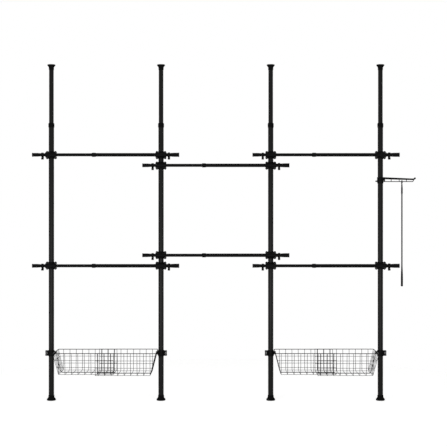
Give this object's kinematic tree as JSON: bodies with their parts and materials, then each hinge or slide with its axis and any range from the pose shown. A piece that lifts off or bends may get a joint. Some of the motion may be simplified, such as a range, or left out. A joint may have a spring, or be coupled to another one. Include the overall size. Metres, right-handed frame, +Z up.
{
  "type": "clothes rack",
  "caption": "Clothes rack braced between floor and ceiling: telescopic poles and rods, wire baskets low in the side bays and a swivelling side rack with a hook pole.",
  "frame": {"origin": "On the floor, at the middle of the bounding box", "axes": "+X to the right along the row of poles, towards the side rack; +Y to the back; +Z up. The rods are on the front, -Y, side of the poles."},
  "size_m": [2.737, 0.285, 2.4],
  "materials": {
    "pole": "satin black powder coat on steel tube",
    "rod": "satin black powder coat on steel tube",
    "plastic": "moulded black plastic with a fine grain",
    "rubber": "matt black rubber",
    "wire": "black dipped coat on steel wire"
  },
  "bodies": {
    "pole_1_base": {"foot_1": "rubber", "lower_tube_1": "pole"},
    "pole_1_top": {"upper_tube_1": "pole", "guide_bush_1": "plastic", "cap_1": "rubber"},
    "pole_1_lock": {"lock_collar_1": "plastic"},
    "pole_2_base": {"foot_2": "rubber", "lower_tube_2": "pole"},
    "pole_2_top": {"upper_tube_2": "pole", "guide_bush_2": "plastic", "cap_2": "rubber"},
    "pole_2_lock": {"lock_collar_2": "plastic"},
    "pole_3_base": {"foot_3": "rubber", "lower_tube_3": "pole"},
    "pole_3_top": {"upper_tube_3": "pole", "guide_bush_3": "plastic", "cap_3": "rubber"},
    "pole_3_lock": {"lock_collar_3": "plastic"},
    "pole_4_base": {"foot_4": "rubber", "lower_tube_4": "pole"},
    "pole_4_top": {"upper_tube_4": "pole", "guide_bush_4": "plastic", "cap_4": "rubber"},
    "pole_4_lock": {"lock_collar_4": "plastic"},
    "left_upper_outer": {"left_upper_rod_outer": "rod", "left_upper_clamp_right": "plastic"},
    "left_upper_inner": {"left_upper_rod_inner": "rod", "left_upper_clamp_left": "plastic"},
    "right_upper_outer": {"right_upper_rod_outer": "rod", "right_upper_clamp_right": "plastic"},
    "right_upper_inner": {"right_upper_rod_inner": "rod", "right_upper_clamp_left": "plastic"},
    "middle_upper_outer": {"middle_upper_rod_outer": "rod", "middle_upper_clamp_right": "plastic"},
    "middle_upper_inner": {"middle_upper_rod_inner": "rod", "middle_upper_clamp_left": "plastic"},
    "middle_lower_outer": {"middle_lower_rod_outer": "rod", "middle_lower_clamp_right": "plastic"},
    "middle_lower_inner": {"middle_lower_rod_inner": "rod", "middle_lower_clamp_left": "plastic"},
    "left_lower_outer": {"left_lower_rod_outer": "rod", "left_lower_clamp_right": "plastic"},
    "left_lower_inner": {"left_lower_rod_inner": "rod", "left_lower_clamp_left": "plastic"},
    "right_lower_outer": {"right_lower_rod_outer": "rod", "right_lower_clamp_right": "plastic"},
    "right_lower_inner": {"right_lower_rod_inner": "rod", "right_lower_clamp_left": "plastic"},
    "left_basket_outer_half": {"left_basket_outer": "wire", "left_bracket_right": "plastic"},
    "left_basket_inner_half": {"left_basket_inner": "wire", "left_bracket_left": "plastic"},
    "right_basket_outer_half": {"right_basket_outer": "wire", "right_bracket_right": "plastic"},
    "right_basket_inner_half": {"right_basket_inner": "wire", "right_bracket_left": "plastic"},
    "side_clamp": {"side_rack_clamp": "plastic"},
    "side_rack": {"side_rack_bar": "plastic", "side_rack_frame": "wire"},
    "hook_pole": {"hook_pole": "pole"}
  },
  "joints": [
    {"name": "left_bay_width", "type": "slide", "parent": "pole_2_base", "child": "pole_1_base", "axis": [-1, 0, 0], "range_m": [-0.24, 0.09]},
    {"name": "middle_bay_width", "type": "slide", "parent": "pole_2_base", "child": "pole_3_base", "axis": [1, 0, 0], "range_m": [-0.24, 0.09]},
    {"name": "right_bay_width", "type": "slide", "parent": "pole_3_base", "child": "pole_4_base", "axis": [1, 0, 0], "range_m": [-0.24, 0.09]},
    {"name": "pole_1_height", "type": "slide", "parent": "pole_1_base", "child": "pole_1_top", "axis": [0, 0, 1], "range_m": [-0.35, 0.45]},
    {"name": "pole_1_lock_turn", "type": "hinge", "parent": "pole_1_base", "child": "pole_1_lock", "pos_m": [-1.2375, 0, 1.966], "axis": [0, 0, 1], "range_deg": [0, 90]},
    {"name": "pole_2_height", "type": "slide", "parent": "pole_2_base", "child": "pole_2_top", "axis": [0, 0, 1], "range_m": [-0.35, 0.45]},
    {"name": "pole_2_lock_turn", "type": "hinge", "parent": "pole_2_base", "child": "pole_2_lock", "pos_m": [-0.4535, 0, 1.966], "axis": [0, 0, 1], "range_deg": [0, 90]},
    {"name": "pole_3_height", "type": "slide", "parent": "pole_3_base", "child": "pole_3_top", "axis": [0, 0, 1], "range_m": [-0.35, 0.45]},
    {"name": "pole_3_lock_turn", "type": "hinge", "parent": "pole_3_base", "child": "pole_3_lock", "pos_m": [0.3305, 0, 1.966], "axis": [0, 0, 1], "range_deg": [0, 90]},
    {"name": "pole_4_height", "type": "slide", "parent": "pole_4_base", "child": "pole_4_top", "axis": [0, 0, 1], "range_m": [-0.35, 0.45]},
    {"name": "pole_4_lock_turn", "type": "hinge", "parent": "pole_4_base", "child": "pole_4_lock", "pos_m": [1.1145, 0, 1.966], "axis": [0, 0, 1], "range_deg": [0, 90]},
    {"name": "left_upper_height", "type": "slide", "parent": "pole_2_base", "child": "left_upper_outer", "axis": [0, 0, 1], "range_m": [-0.005, 0.15]},
    {"name": "left_upper_height_inner", "type": "slide", "parent": "pole_1_base", "child": "left_upper_inner", "axis": [0, 0, 1], "range_m": [-0.005, 0.15]},
    {"name": "right_upper_height", "type": "slide", "parent": "pole_4_base", "child": "right_upper_outer", "axis": [0, 0, 1], "range_m": [-0.005, 0.15]},
    {"name": "right_upper_height_inner", "type": "slide", "parent": "pole_3_base", "child": "right_upper_inner", "axis": [0, 0, 1], "range_m": [-0.005, 0.15]},
    {"name": "middle_upper_height", "type": "slide", "parent": "pole_3_base", "child": "middle_upper_outer", "axis": [0, 0, 1], "range_m": [-0.28, 0.005]},
    {"name": "middle_upper_height_inner", "type": "slide", "parent": "pole_2_base", "child": "middle_upper_inner", "axis": [0, 0, 1], "range_m": [-0.28, 0.005]},
    {"name": "middle_lower_height", "type": "slide", "parent": "pole_3_base", "child": "middle_lower_outer", "axis": [0, 0, 1], "range_m": [-0.005, 0.28]},
    {"name": "middle_lower_height_inner", "type": "slide", "parent": "pole_2_base", "child": "middle_lower_inner", "axis": [0, 0, 1], "range_m": [-0.005, 0.28]},
    {"name": "left_lower_height", "type": "slide", "parent": "pole_2_base", "child": "left_lower_outer", "axis": [0, 0, 1], "range_m": [-0.45, 0.005]},
    {"name": "left_lower_height_inner", "type": "slide", "parent": "pole_1_base", "child": "left_lower_inner", "axis": [0, 0, 1], "range_m": [-0.45, 0.005]},
    {"name": "right_lower_height", "type": "slide", "parent": "pole_4_base", "child": "right_lower_outer", "axis": [0, 0, 1], "range_m": [-0.45, 0.005]},
    {"name": "right_lower_height_inner", "type": "slide", "parent": "pole_3_base", "child": "right_lower_inner", "axis": [0, 0, 1], "range_m": [-0.45, 0.005]},
    {"name": "left_basket_height", "type": "slide", "parent": "pole_2_base", "child": "left_basket_outer_half", "axis": [0, 0, 1], "range_m": [-0.1, 0.1]},
    {"name": "left_basket_height_inner", "type": "slide", "parent": "pole_1_base", "child": "left_basket_inner_half", "axis": [0, 0, 1], "range_m": [-0.1, 0.1]},
    {"name": "right_basket_height", "type": "slide", "parent": "pole_4_base", "child": "right_basket_outer_half", "axis": [0, 0, 1], "range_m": [-0.1, 0.1]},
    {"name": "right_basket_height_inner", "type": "slide", "parent": "pole_3_base", "child": "right_basket_inner_half", "axis": [0, 0, 1], "range_m": [-0.1, 0.1]},
    {"name": "side_rack_height", "type": "slide", "parent": "pole_4_base", "child": "side_clamp", "axis": [0, 0, 1], "range_m": [-0.4, 0.09]},
    {"name": "side_rack_swivel", "type": "hinge", "parent": "side_clamp", "child": "side_rack", "pos_m": [1.1145, 0, 1.58], "axis": [0, 0, 1], "range_deg": [-90, 90]},
    {"name": "hook_pole_swing", "type": "hinge", "parent": "side_rack", "child": "hook_pole", "pos_m": [1.2685, 0, 1.5637], "axis": [1, 0, 0], "range_deg": [-25, 25]}
  ],
  "couplings": [
    {"joint": "left_upper_height_inner", "follows": "left_upper_height", "ratio": 1},
    {"joint": "right_upper_height_inner", "follows": "right_upper_height", "ratio": 1},
    {"joint": "middle_upper_height_inner", "follows": "middle_upper_height", "ratio": 1},
    {"joint": "middle_lower_height_inner", "follows": "middle_lower_height", "ratio": 1},
    {"joint": "left_lower_height_inner", "follows": "left_lower_height", "ratio": 1},
    {"joint": "right_lower_height_inner", "follows": "right_lower_height", "ratio": 1},
    {"joint": "left_basket_height_inner", "follows": "left_basket_height", "ratio": 1},
    {"joint": "right_basket_height_inner", "follows": "right_basket_height", "ratio": 1}
  ]
}
